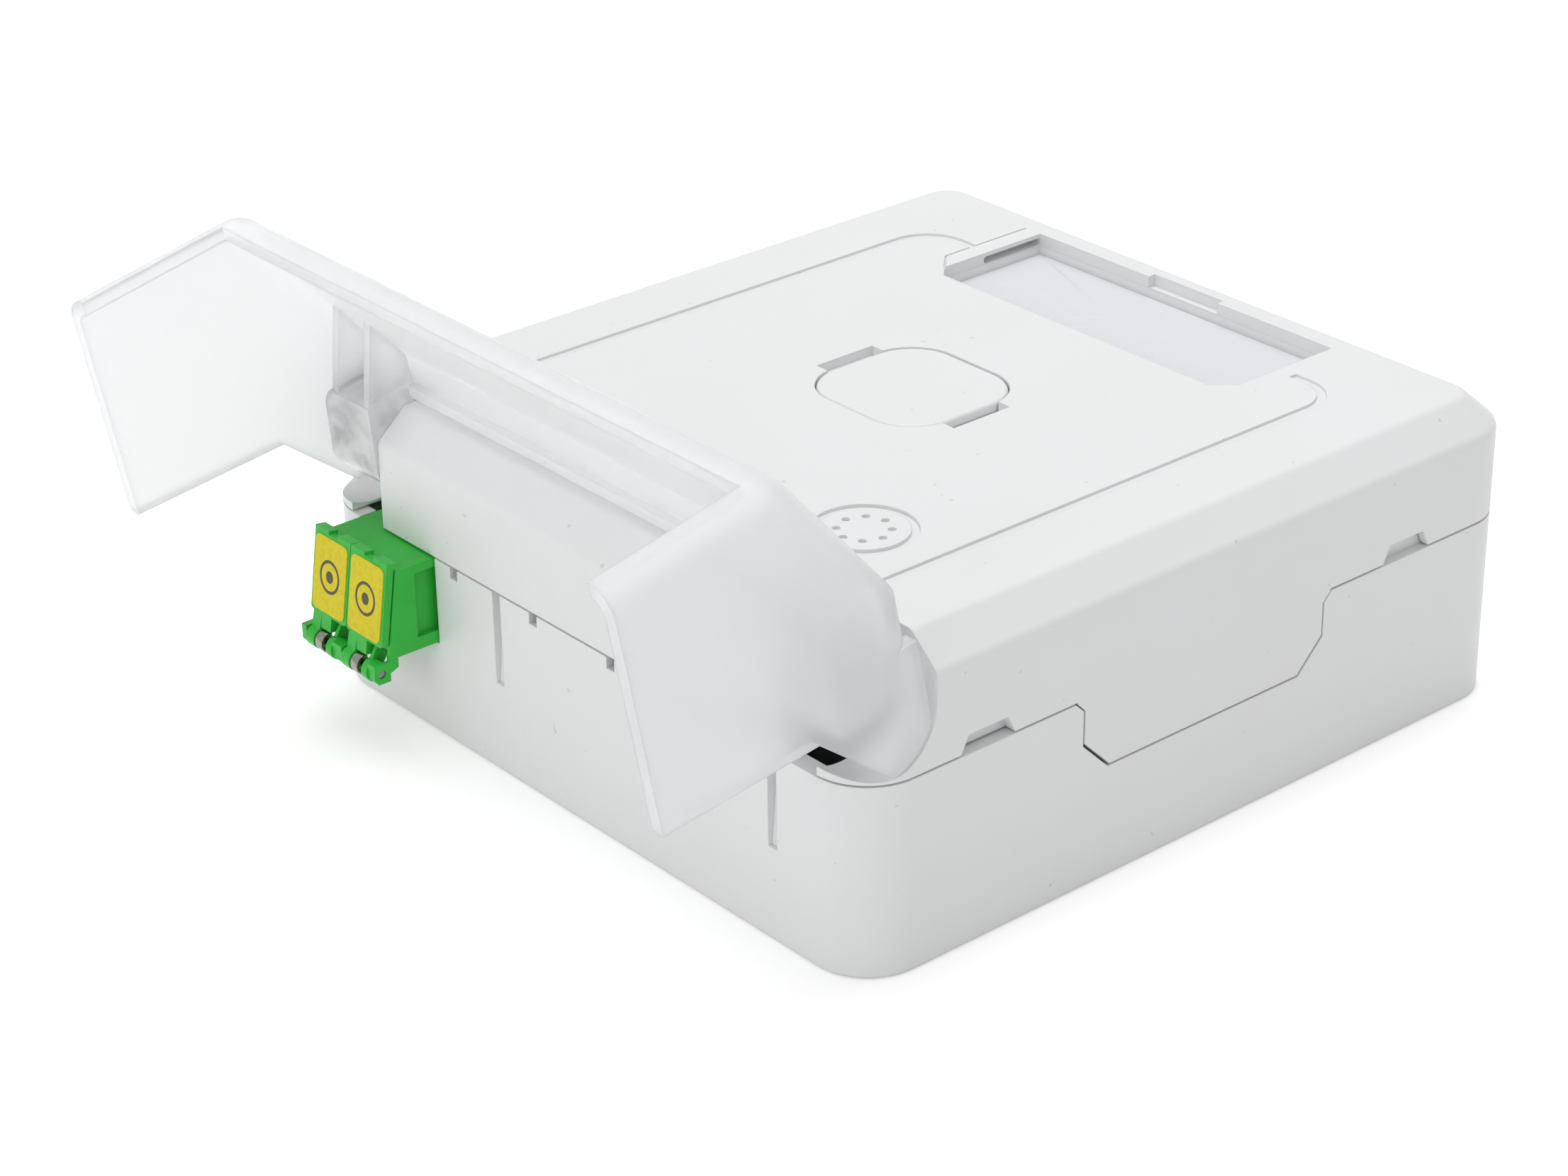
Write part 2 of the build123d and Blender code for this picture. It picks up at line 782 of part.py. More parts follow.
with BuildPart() as clear_hood:
    add(hood_block)
    add(hood_hollow, mode=Mode.SUBTRACT)
    # the panel ends square between the arms
    with BuildSketch(hood_side.offset(-arm_inner_x)):
        with Locations((panel_start_out, panel_up + hood_wall)):
            Rectangle(hood_reach, hood_reach, align=(Align.MAX, Align.MAX))
    extrude(amount=2 * arm_inner_x, mode=Mode.SUBTRACT)
    # the free end is open inside its lip
    with BuildSketch(hood_side.offset(-box_width / 2 + lip_reach)):
        with Locations((hood_reach, -free_top_drop - lip_reach)):
            Rectangle(4 * hood_wall, 2 * free_low_drop, align=(Align.CENTER, Align.MAX))
    extrude(amount=box_width - 2 * lip_reach, mode=Mode.SUBTRACT)
    # lip that stiffens the panel end, and the hinge blocks
    with BuildSketch(hood_side.offset(-arm_inner_x - hinge_block_width + hood_wall)):
        with Locations((panel_start_out, panel_up)):
            Rectangle(hood_wall, panel_end_lip, align=(Align.MIN, Align.MAX))
    extrude(amount=2 * (arm_inner_x + hinge_block_width - hood_wall))
    add(hinge_blocks.part)
    for side in (-1, 1):
        # side plate of the arm, kept inside its pocket in the cover
        with BuildSketch(hood_side.offset(-side * box_width / 2)):
            with BuildLine():
                Polyline(
                    (throat_out, -throat_drop),
                    (-arm_tip_out, arm_tip_rise),
                    (-arm_tip_out, panel_up),
                    (panel_start_out, panel_up),
                    (panel_start_out, panel_up - hood_edge_radius),
                    (panel_start_out + hood_wall, panel_up - hood_edge_radius),
                    (panel_start_out + hood_wall, -throat_drop),
                    close=True,
                )
            make_face()
            with BuildSketch(mode=Mode.INTERSECT):
                Circle(arm_radius)
                Rectangle(hood_reach, 2 * hood_reach, align=(Align.MIN, Align.CENTER))
        extrude(amount=side * hood_wall)
        # pivot pin
        with BuildSketch(hood_side.offset(-side * (arm_inner_x - pin_stub))):
            Circle(pin_radius)
        extrude(amount=-side * 2 * pin_stub)
        # two ribs from the hinge block along the panel
        for rib_x in (arm_inner_x, arm_inner_x + hinge_block_width - hood_wall - rib_width):
            with BuildSketch(hood_side.offset(-side * rib_x)):
                with BuildLine():
                    Polyline(
                        (panel_start_out + hood_wall / 2, -hinge_block_fall),
                        (panel_start_out + hood_wall / 2, panel_up - hood_wall / 2),
                        (bend_out, panel_up - hood_wall / 2),
                        (rib_reach, rib_end_up - hood_wall / 2),
                        close=True,
                    )
                make_face()
            extrude(amount=-side * rib_width)
clear_hood.part.label = "clear_hood"
export_step(clear_hood.part, "parts/clear_hood.step")


# Duplex adapter: body with a sloping front, two ports right through, side recesses and hinge blocks
with BuildPart() as adapter_housing:
    with BuildSketch(Plane.YZ.offset(adapter_x - adapter_width / 2)):
        with BuildLine():
            Polyline(
                (face_low_y, adapter_low),
                (adapter_back, adapter_low),
                (adapter_back, adapter_high),
                (face_high_y, adapter_high),
                close=True,
            )
        make_face()
    extrude(amount=adapter_width)
    with BuildSketch(Plane.XZ.offset(-adapter_back)):
        with Locations(*[(centre, adapter_mid) for centre in port_centres]):
            RectangleRounded(port_width, port_height, port_corner)
        with Locations(*[(centre, adapter_mid + port_height / 2) for centre in port_centres]):
            Rectangle(keyway_width, 2 * keyway_height)
    extrude(amount=box_depth, mode=Mode.SUBTRACT)
    for side in (-1, 1):
        with BuildSketch(Plane.YZ.offset(adapter_x + side * (adapter_width / 2 - recess_depth))):
            with BuildLine():
                Polyline(
                    (front_y - recess_front, adapter_low + recess_low),
                    (behind(recess_back), adapter_low + recess_low),
                    (behind(recess_back), adapter_high - recess_high),
                    (front_y - recess_front, adapter_high - recess_high),
                    close=True,
                )
            make_face()
        extrude(amount=side * adapter_width, mode=Mode.SUBTRACT)
    for centre in port_centres:
        # ear and block beside each shutter, each on a foot under the body, and the barrel next to the block
        for low_x, high_x in (ear_span, block_span):
            with BuildSketch(Plane.YZ.offset(centre + low_x)):
                with BuildLine():
                    Polyline(
                        (hinge_y - block_front, hinge_height + knuckle_radius),
                        (hinge_y - block_front, hinge_height - block_low / 2),
                        (hinge_y - block_front / 2, hinge_height - block_low),
                        (hinge_y + block_back, hinge_height - block_low),
                        (hinge_y + block_back, hinge_height - foot_low),
                        (hinge_y + foot_back, hinge_height + foot_low),
                        (hinge_y + foot_back, adapter_low + root),
                        (face_low_y, adapter_low + root),
                        (face_low_y, hinge_height + knuckle_radius),
                        close=True,
                    )
                make_face()
            extrude(amount=high_x - low_x)
        with BuildSketch(Plane.YZ.offset(centre + barrel_span[0])):
            with Locations((hinge_y, hinge_height)):
                Circle(knuckle_radius)
        extrude(amount=barrel_span[1] - barrel_span[0])
        with BuildSketch(Plane.YZ.offset(centre + barrel_span[0])):
            with BuildLine():
                Polyline(
                    (hinge_y, hinge_height),
                    (hinge_y + block_back, hinge_height - foot_low),
                    (hinge_y + foot_back, adapter_low),
                    (hinge_y + foot_back, adapter_low + recess_low),
                    (face_low_y, adapter_low + recess_low),
                    (hinge_y, hinge_height + knuckle_radius),
                    close=True,
                )
            make_face()
        extrude(amount=strip_width)
        # small window over the block, open below
        with BuildSketch(Plane.XZ.offset(-face_low_y + root)):
            with Locations((centre + barrel_span[0] + strip_width, adapter_low + window_rise)):
                Rectangle(window_width, 2 * window_rise, align=(Align.MIN, Align.MAX))
        extrude(amount=-window_length, mode=Mode.SUBTRACT)
    with BuildSketch(Plane.YZ.offset(adapter_x)):
        with Locations((hinge_y, hinge_height)):
            Circle(hinge_pin_radius + bore_clearance)
    extrude(amount=adapter_width, both=True, mode=Mode.SUBTRACT)
adapter_housing.part.label = "adapter_housing"
export_step(adapter_housing.part, "parts/adapter_housing.step")


# White insert that holds the ceramic sleeves in line between the two halves of each port
with BuildPart() as sleeve_carrier:
    with BuildSketch(Plane.XZ.offset(-carrier_mid + carrier_sheet / 2)):
        with Locations(*[(centre, adapter_mid) for centre in port_centres]):
            RectangleRounded(port_width - slip, port_height - slip, port_corner)
    extrude(amount=-carrier_sheet)
    with BuildSketch(Plane.XZ.offset(-carrier_mid + carrier_depth / 2)):
        with Locations(*[(centre, adapter_mid) for centre in port_centres]):
            Circle(tube_outer)
    extrude(amount=-carrier_depth)
    with BuildSketch(Plane.XZ.offset(-carrier_mid + carrier_depth)):
        with Locations(*[(centre, adapter_mid) for centre in port_centres]):
            Circle(sleeve_outer + bore_clearance)
    extrude(amount=-2 * carrier_depth, mode=Mode.SUBTRACT)
sleeve_carrier.part.label = "sleeve_carrier"
export_step(sleeve_carrier.part, "parts/sleeve_carrier.step")


# Moving shutters with their tongues, stickers, springs and alignment sleeves, one set per port
side_names = ("left", "right")
shutter_plane_z = (0, -cos(radians(face_tilt)), sin(radians(face_tilt)))
shutter_width = port_pitch - shutter_gap
shutter_back = face_high_y - (adapter_high - shutter_low) * face_slope - slip
for side_name, centre in zip(side_names, port_centres):
    face = Plane(origin=(centre, shutter_back, shutter_low), x_dir=(1, 0, 0), z_dir=shutter_plane_z)
    with BuildPart() as shutter:
        with BuildSketch(face):
            with Locations((0, shutter_height / 2)):
                RectangleRounded(shutter_width, shutter_height, port_corner)
        extrude(amount=shutter_thickness)
        # two blocks along the top edge reach back over the body
        with BuildSketch(face.offset(shutter_thickness)):
            with Locations((0, shutter_height - shutter_block_height)):
                with GridLocations(shutter_width - shutter_block_width, 1, 2, 1):
                    Rectangle(
                        shutter_block_width,
                        2 * shutter_block_height,
                        align=(Align.CENTER, Align.MIN),
                    )
        extrude(amount=-shutter_thickness - shutter_block_reach)
        # tongue in front of the spring, and the knuckle on the pin
        with BuildSketch(face):
            with Locations((knuckle_span[0], shutter_block_height)):
                Rectangle(tongue_width, tongue_height + shutter_block_height, align=(Align.MIN, Align.MAX))
        extrude(amount=shutter_thickness)
        with BuildSketch(Plane.YZ.offset(centre + knuckle_span[0])):
            with Locations((hinge_y, hinge_height)):
                Circle(knuckle_radius)
            with BuildLine():
                Polyline(
                    (hinge_y - knuckle_radius / 2, hinge_height),
                    (hinge_y + knuckle_radius / 2, hinge_height),
                    (shutter_back, shutter_low),
                    (shutter_back - shutter_thickness, shutter_low),
                    close=True,
                )
            make_face()
        extrude(amount=knuckle_span[1] - knuckle_span[0])
        with BuildSketch(Plane.YZ.offset(centre)):
            with Locations((hinge_y, hinge_height)):
                Circle(hinge_pin_radius + bore_clearance)
        extrude(amount=port_pitch, both=True, mode=Mode.SUBTRACT)
    shutter.part.label = f"shutter_{side_name}"
    export_step(shutter.part, f"parts/shutter_{side_name}.step")

    with BuildPart() as sticker:
        with BuildSketch(face.offset(shutter_thickness)):
            with Locations((0, shutter_height / 2)):
                RectangleRounded(sticker_width, sticker_height, sticker_corner)
        extrude(amount=sticker_thickness)
    sticker.part.label = f"sticker_{side_name}"
    export_step(sticker.part, f"parts/sticker_{side_name}.step")

    # curled strip round the pin, with one leg against the body
    with BuildPart() as spring:
        with BuildSketch(Plane.YZ.offset(centre + spring_start)):
            with Locations((hinge_y, hinge_height)):
                Circle(spring_radius)
                Circle(spring_radius - spring_strip, mode=Mode.SUBTRACT)
                Rectangle(
                    2 * spring_radius,
                    spring_radius,
                    align=(Align.MIN, Align.MIN),
                    mode=Mode.SUBTRACT,
                )
            with Locations((hinge_y, hinge_height + spring_radius - spring_strip)):
                Rectangle(spring_leg, spring_strip, align=(Align.MIN, Align.MIN))
        extrude(amount=spring_width)
    spring.part.label = f"shutter_spring_{side_name}"
    export_step(spring.part, f"parts/shutter_spring_{side_name}.step")

    with BuildPart() as sleeve:
        with BuildSketch(Plane.XZ.offset(-carrier_mid + sleeve_length / 2)):
            with Locations((centre, adapter_mid)):
                Circle(sleeve_outer)
                Circle(sleeve_bore, mode=Mode.SUBTRACT)
                Rectangle(
                    sleeve_slit,
                    2 * sleeve_outer,
                    align=(Align.CENTER, Align.MIN),
                    mode=Mode.SUBTRACT,
                )
        extrude(amount=-sleeve_length)
    sleeve.part.label = f"sleeve_{side_name}"
    export_step(sleeve.part, f"parts/sleeve_{side_name}.step")

# One steel pin through the ears, the knuckles and the hinge blocks
pin_low_x = port_centres[0] + ear_span[0] + slip
pin_high_x = port_centres[1] + block_span[1] - slip
with BuildPart() as shutter_pin:
    with BuildSketch(Plane.YZ.offset(pin_low_x)):
        with Locations((hinge_y, hinge_height)):
            Circle(hinge_pin_radius)
    extrude(amount=pin_high_x - pin_low_x)
shutter_pin.part.label = "shutter_pin"
export_step(shutter_pin.part, "parts/shutter_pin.step")


# Splice tray: a rimmed sheet with a racetrack spool, retaining tabs, and holes for the posts
tray_y = behind((tray_front + tray_back) / 2)
tray_length = tray_back - tray_front
tray_inner_corner = tray_corner - tray_sheet
spool_y = behind(spool_back)
spool_width = 2 * spool_bend_radius
with BuildPart() as splice_tray:
    with BuildSketch(Plane.XY.offset(tray_floor_height)):
        with Locations((0, tray_y)):
            RectangleRounded(tray_width, tray_length, tray_corner)
    extrude(amount=tray_sheet)
    with BuildSketch(Plane.XY.offset(tray_floor_height)):
        with Locations((0, tray_y)):
            RectangleRounded(tray_width, tray_length, tray_corner)
            RectangleRounded(
                tray_width - 2 * tray_sheet,
                tray_length - 2 * tray_sheet,
                tray_inner_corner,
                mode=Mode.SUBTRACT,
            )
            Rectangle(tray_width - 4 * tray_corner, 2 * tray_length, mode=Mode.SUBTRACT)
    extrude(amount=tray_sheet + tray_rim)
    with BuildSketch(Plane.XY.offset(tray_floor_height)):
        with Locations((0, spool_y)):
            SlotOverall(spool_length, spool_width)
            SlotOverall(spool_length - 2 * tray_sheet, spool_width - 2 * tray_sheet, mode=Mode.SUBTRACT)
            Rectangle(spool_length / 3, 2 * spool_width, mode=Mode.SUBTRACT)
    extrude(amount=tray_sheet + tray_rim)
    # tabs over the fibre track
    with BuildSketch(Plane.XY.offset(tray_floor_height + tray_rim)):
        with Locations(*[(side * spool_length / 2, spool_y) for side in (-1, 1)]):
            Rectangle(tab_reach, tab_width)
        tab_x = (tray_width - tab_reach) / 2
        tab_y = behind(tray_front + tab_back)
        with Locations((-tab_x, tab_y), (tab_x, tab_y)):
            Rectangle(tab_reach, tab_width)
    extrude(amount=tray_sheet)
    with BuildSketch():
        Circle(post_radius + 4 * slip)
        with Locations(*tray_posts):
            Circle(small_screw_radius + slip)
    extrude(amount=box_height, mode=Mode.SUBTRACT)
splice_tray.part.label = "splice_tray"
export_step(splice_tray.part, "parts/splice_tray.step")

# Comb that grips the splice protectors in the middle of the spool
with BuildPart() as splice_comb:
    with BuildSketch(Plane.XY.offset(tray_floor_height + tray_sheet)):
        with Locations((0, spool_y)):
            Rectangle(comb_width, comb_depth)
    extrude(amount=comb_height)
    with BuildSketch(Plane.XZ.offset(-spool_y + comb_depth)):
        with Locations((0, tray_floor_height + tray_sheet + comb_height + comb_slot_rise)):
            with GridLocations(comb_width / comb_slots, 1, comb_slots, 1):
                SlotOverall(2 * comb_height, comb_slot_width, rotation=90)
    extrude(amount=-2 * comb_depth, mode=Mode.SUBTRACT)
splice_comb.part.label = "splice_comb"
export_step(splice_comb.part, "parts/splice_comb.step")

# Clamp bar for the drop cable, ribbed underneath
with BuildPart() as cable_clamp:
    with BuildSketch(Plane.XY.offset(clamp_height)):
        with Locations((clamp_x, behind(clamp_back))):
            RectangleRounded(clamp_width, clamp_depth, clamp_corner)
            with GridLocations(clamp_spacing, 1, 2, 1):
                Circle(small_screw_radius + slip, mode=Mode.SUBTRACT)
    extrude(amount=clamp_thickness)
    with BuildSketch(Plane.XY.offset(clamp_height)):
        with Locations((clamp_x, behind(clamp_back))):
            with GridLocations(1, tooth_spacing, 1, 3):
                Rectangle(tooth_width, tooth_depth)
    extrude(amount=-tooth_height)
cable_clamp.part.label = "cable_clamp"
export_step(cable_clamp.part, "parts/cable_clamp.step")
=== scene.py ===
"""Looks of a fibre outlet box: its finishes, a few fine pieces, and the studio it is photographed in."""

from __future__ import annotations

import logging
import math
from dataclasses import dataclass
from enum import Enum
from typing import Any

import bmesh
import bpy
from mathutils import Matrix, Vector

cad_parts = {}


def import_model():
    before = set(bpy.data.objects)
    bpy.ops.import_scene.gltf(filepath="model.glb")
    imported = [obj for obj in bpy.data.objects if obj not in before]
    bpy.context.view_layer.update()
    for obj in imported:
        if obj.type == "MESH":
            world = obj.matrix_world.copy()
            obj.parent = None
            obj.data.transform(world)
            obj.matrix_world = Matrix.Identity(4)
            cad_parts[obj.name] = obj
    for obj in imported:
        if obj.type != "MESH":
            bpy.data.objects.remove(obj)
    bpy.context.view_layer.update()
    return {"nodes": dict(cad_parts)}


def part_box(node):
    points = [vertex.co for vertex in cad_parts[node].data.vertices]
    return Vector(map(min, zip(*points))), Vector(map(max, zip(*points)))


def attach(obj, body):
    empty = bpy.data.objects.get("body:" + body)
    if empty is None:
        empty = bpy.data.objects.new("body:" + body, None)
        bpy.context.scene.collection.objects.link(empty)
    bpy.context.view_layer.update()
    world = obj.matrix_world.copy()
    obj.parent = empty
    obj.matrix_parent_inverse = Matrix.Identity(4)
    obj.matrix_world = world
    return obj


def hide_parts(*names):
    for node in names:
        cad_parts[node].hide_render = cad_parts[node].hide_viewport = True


LOG = logging.getLogger("fibre_outlet_box")
MM = 0.001
PHOTO_WIDTH = 2212
PHOTO_HEIGHT = 1659
WELD = 0.002 * MM
SMOOTH_ANGLE = math.radians(35)
BEVEL_SAMPLES = 6

Colour = tuple[float, float, float, float]
Span = tuple[float, float]


class Body(Enum):
    """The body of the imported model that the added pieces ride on."""

    BASE = "base"


class Side(Enum):
    """The two ports of the adapter, seen from the connector side."""

    LEFT = "left"
    RIGHT = "right"


class Ray(Enum):
    """The rays that see the surround as white."""

    CAMERA = "Is Camera Ray"
    GLOSSY = "Is Glossy Ray"
    THROUGH = "Is Transmission Ray"


class Signal:
    """A number carried by a shader socket, with arithmetic that adds Math nodes."""

    def __init__(self, sheet: ShaderSheet, socket: bpy.types.NodeSocket) -> None:
        """Wraps a socket of one node tree."""
        self.sheet = sheet
        self.socket = socket

    def __add__(self, other: Any) -> Signal:
        """Sum."""
        return self.sheet.maths("ADD", self, other)

    def __radd__(self, other: Any) -> Signal:
        """Sum with a number on the left."""
        return self.sheet.maths("ADD", other, self)

    def __sub__(self, other: Any) -> Signal:
        """Difference."""
        return self.sheet.maths("SUBTRACT", self, other)

    def __rsub__(self, other: Any) -> Signal:
        """Difference with a number on the left."""
        return self.sheet.maths("SUBTRACT", other, self)

    def __mul__(self, other: Any) -> Signal:
        """Product."""
        return self.sheet.maths("MULTIPLY", self, other)

    def __rmul__(self, other: Any) -> Signal:
        """Product with a number on the left."""
        return self.sheet.maths("MULTIPLY", other, self)

    def __abs__(self) -> Signal:
        """Absolute value."""
        return self.sheet.maths("ABSOLUTE", self)

    def __lt__(self, other: Any) -> Signal:
        """1 where this is less than the other."""
        return self.sheet.maths("LESS_THAN", self, other)

    def __gt__(self, other: Any) -> Signal:
        """1 where this is more than the other."""
        return self.sheet.maths("GREATER_THAN", self, other)

    def most(self, other: Any) -> Signal:
        """The larger of the two."""
        return self.sheet.maths("MAXIMUM", self, other)


class ShaderSheet:
    """One node tree, with the few helpers that the finishes need."""

    def __init__(self, owner: bpy.types.Material | bpy.types.World) -> None:
        """Starts with an empty node tree.

        Args:
            owner: The material or world that holds the tree.
        """
        owner.use_nodes = True
        self.owner = owner
        self.tree = owner.node_tree
        self.tree.nodes.clear()

    def node(self, kind: str, settings: dict[str, Any] | None = None, **sockets: Any) -> bpy.types.Node:
        """Adds a node, gives it its settings and then the values or links of its sockets.

        Args:
            kind: The node's type.
            settings: Its own properties, set before its sockets.
            **sockets: Values or links, by socket name with underscores for spaces, or in0, in1 by place.

        Returns:
            The new node.
        """
        made = self.tree.nodes.new(kind)
        for key, value in (settings or {}).items():
            setattr(made, key, value)
        for key, value in sockets.items():
            if key.startswith("in") and key[2:].isdigit():
                target = made.inputs[int(key[2:])]
            else:
                target = made.inputs[key.replace("_", " ")]
            self.feed(target, value)
        return made

    def feed(self, target: bpy.types.NodeSocket, value: Any) -> None:
        """Links a signal or socket to an input, or sets its value.

        Args:
            target: The input.
            value: A signal, a socket, or a plain number, colour or vector.
        """
        if isinstance(value, Signal):
            value = value.socket
        if isinstance(value, bpy.types.NodeSocket):
            self.tree.links.new(value, target)
        else:
            target.default_value = value

    def maths(self, operation: str, first: Any, second: Any = 0.0) -> Signal:
        """One Math node on two values or signals."""
        made = self.node("ShaderNodeMath", {"operation": operation}, in0=first, in1=second)
        return Signal(self, made.outputs[0])

    def length(self, first: Signal, second: Signal) -> Signal:
        """Distance from the origin of two coordinates."""
        return self.maths("SQRT", first * first + second * second)

    def place(self, centre: Vector | None = None, tilt: float = 0.0) -> bpy.types.NodeSocket:
        """Object coordinates, moved so that centre is the origin and then tilted about X.

        Args:
            centre: The pattern's origin in the row frame.
            tilt: The pattern's tilt, in radians.

        Returns:
            The vector socket.
        """
        source = self.node("ShaderNodeTexCoord").outputs["Object"]
        if centre is None:
            return source
        mapping = self.node(
            "ShaderNodeMapping",
            {"vector_type": "TEXTURE"},
            Vector=source,
            Location=centre,
            Rotation=(tilt, 0.0, 0.0),
        )
        return mapping.outputs["Vector"]

    def axes(self, vector: bpy.types.NodeSocket) -> tuple[Signal, Signal, Signal]:
        """The three parts of a vector as signals."""
        split = self.node("ShaderNodeSeparateXYZ", Vector=vector)
        return tuple(Signal(self, out) for out in split.outputs)

    def noise(
        self, scale: float, detail: float = 2.0, vector: bpy.types.NodeSocket | None = None
    ) -> Signal:
        """Noise from 0 to 1.

        Args:
            scale: Its waves a metre.
            detail: Its finer layers.
            vector: Where it is read, or None for the object's coordinates.

        Returns:
            The noise.
        """
        where = vector or self.place()
        made = self.node("ShaderNodeTexNoise", Vector=where, Scale=scale, Detail=detail)
        return Signal(self, made.outputs["Fac"])

    def ramp(self, value: Signal, source: Span, result: Span = (0.0, 1.0)) -> Signal:
        """Maps a value from one range to another, held at both ends.

        Args:
            value: The value.
            source: The value's range.
            result: What the range's two ends become.

        Returns:
            The mapped value.
        """
        made = self.node(
            "ShaderNodeMapRange",
            {"clamp": True},
            Value=value,
            From_Min=source[0],
            From_Max=source[1],
            To_Min=result[0],
            To_Max=result[1],
        )
        return Signal(self, made.outputs[0])

    def blend(self, share: Any, first: Any, second: Any) -> bpy.types.NodeSocket:
        """Mixes two colours by a share."""
        made = self.node("ShaderNodeMix", {"data_type": "RGBA"}, in0=share, in6=first, in7=second)
        return made.outputs[2]

    def bump(
        self, height: Signal, depth: float, strength: float, normal: Any = None
    ) -> bpy.types.NodeSocket:
        """Surface relief.

        Args:
            height: The relief, from 0 to 1.
            depth: Its depth, in metres.
            strength: Its share.
            normal: The normal under it, or None for the surface's own.

        Returns:
            The normal's socket.
        """
        made = self.node("ShaderNodeBump", Height=height, Distance=depth, Strength=strength)
        if normal is not None:
            self.feed(made.inputs["Normal"], normal)
        return made.outputs["Normal"]

    def softened(self, radius: float) -> bpy.types.NodeSocket:
        """Normal that rounds the moulded edges to a radius in metres."""
        return self.node("ShaderNodeBevel", {"samples": BEVEL_SAMPLES}, Radius=radius).outputs["Normal"]

    def white_rays(self) -> Signal:
        """Tells the rays that see the surround as white from the rest.

        Returns:
            1 for those rays and 0 for the rest.
        """
        path = self.node("ShaderNodeLightPath")
        camera, glossy, through = (Signal(self, path.outputs[ray.value]) for ray in Ray)
        return camera.most(glossy).most(through)

    def finish(self, **sockets: Any) -> bpy.types.Material:
        """Closes the material with a Principled surface.

        Args:
            **sockets: Values or links of the Principled sockets.

        Returns:
            The finished material.
        """
        surface = self.node("ShaderNodeBsdfPrincipled", **sockets)
        self.node("ShaderNodeOutputMaterial", Surface=surface.outputs["BSDF"])
        return self.owner


def new_sheet(name: str) -> ShaderSheet:
    """An empty node tree in a new material."""
    return ShaderSheet(bpy.data.materials.new(name))


def grey(value: float, warmth: float = 0.0) -> Colour:
    """A near-grey colour, warmer above zero and cooler below."""
    return (value * (1 + warmth), value, value * (1 - warmth), 1.0)


@dataclass(frozen=True)
class MouldedPlastic:
    """Opaque moulded plastic with a fine spark-eroded grain, flow tint and softened edges."""

    name: str
    colour: Colour
    shade: Colour
    roughness: float
    grain: float = 9000.0
    grain_depth: float = 0.02 * MM
    grain_strength: float = 0.12
    flow: float = 55.0
    flow_span: Span = (0.3, 0.7)
    rub_finer: float = 7.0
    rub_span: Span = (0.3, 0.75)
    rub_change: Span = (-0.05, 0.06)
    edge: float = 0.16 * MM
    glow: float = 0.0
    glow_depth: float = 1.2 * MM
    bending: float = 1.5
    shine: float = 0.5
    speckle: float = 0.0
    dust: float = 900.0
    dust_span: Span = (0.78, 0.8)
    dust_colour: Colour = grey(0.25, 0.05)

    def make(self) -> bpy.types.Material:
        """Builds the material.

        Returns:
            The material.
        """
        sheet = new_sheet(self.name)
        tint = sheet.ramp(sheet.noise(self.flow, detail=3.0), self.flow_span)
        colour = sheet.blend(tint, self.colour, self.shade)
        if self.speckle:
            fleck = sheet.ramp(sheet.noise(self.dust, detail=1.0), self.dust_span)
            colour = sheet.blend(fleck * self.speckle, colour, self.dust_colour)
        rub = sheet.noise(self.flow * self.rub_finer, detail=4.0)
        low, high = self.rub_change
        rough = sheet.ramp(rub, self.rub_span, (self.roughness + low, self.roughness + high))
        fine = sheet.noise(self.grain)
        normal = sheet.bump(fine, self.grain_depth, self.grain_strength, sheet.softened(self.edge))
        return sheet.finish(
            Base_Color=colour,
            Roughness=rough,
            IOR=self.bending,
            Specular_IOR_Level=self.shine,
            Normal=normal,
            Subsurface_Weight=self.glow,
            Subsurface_Scale=self.glow_depth,
        )


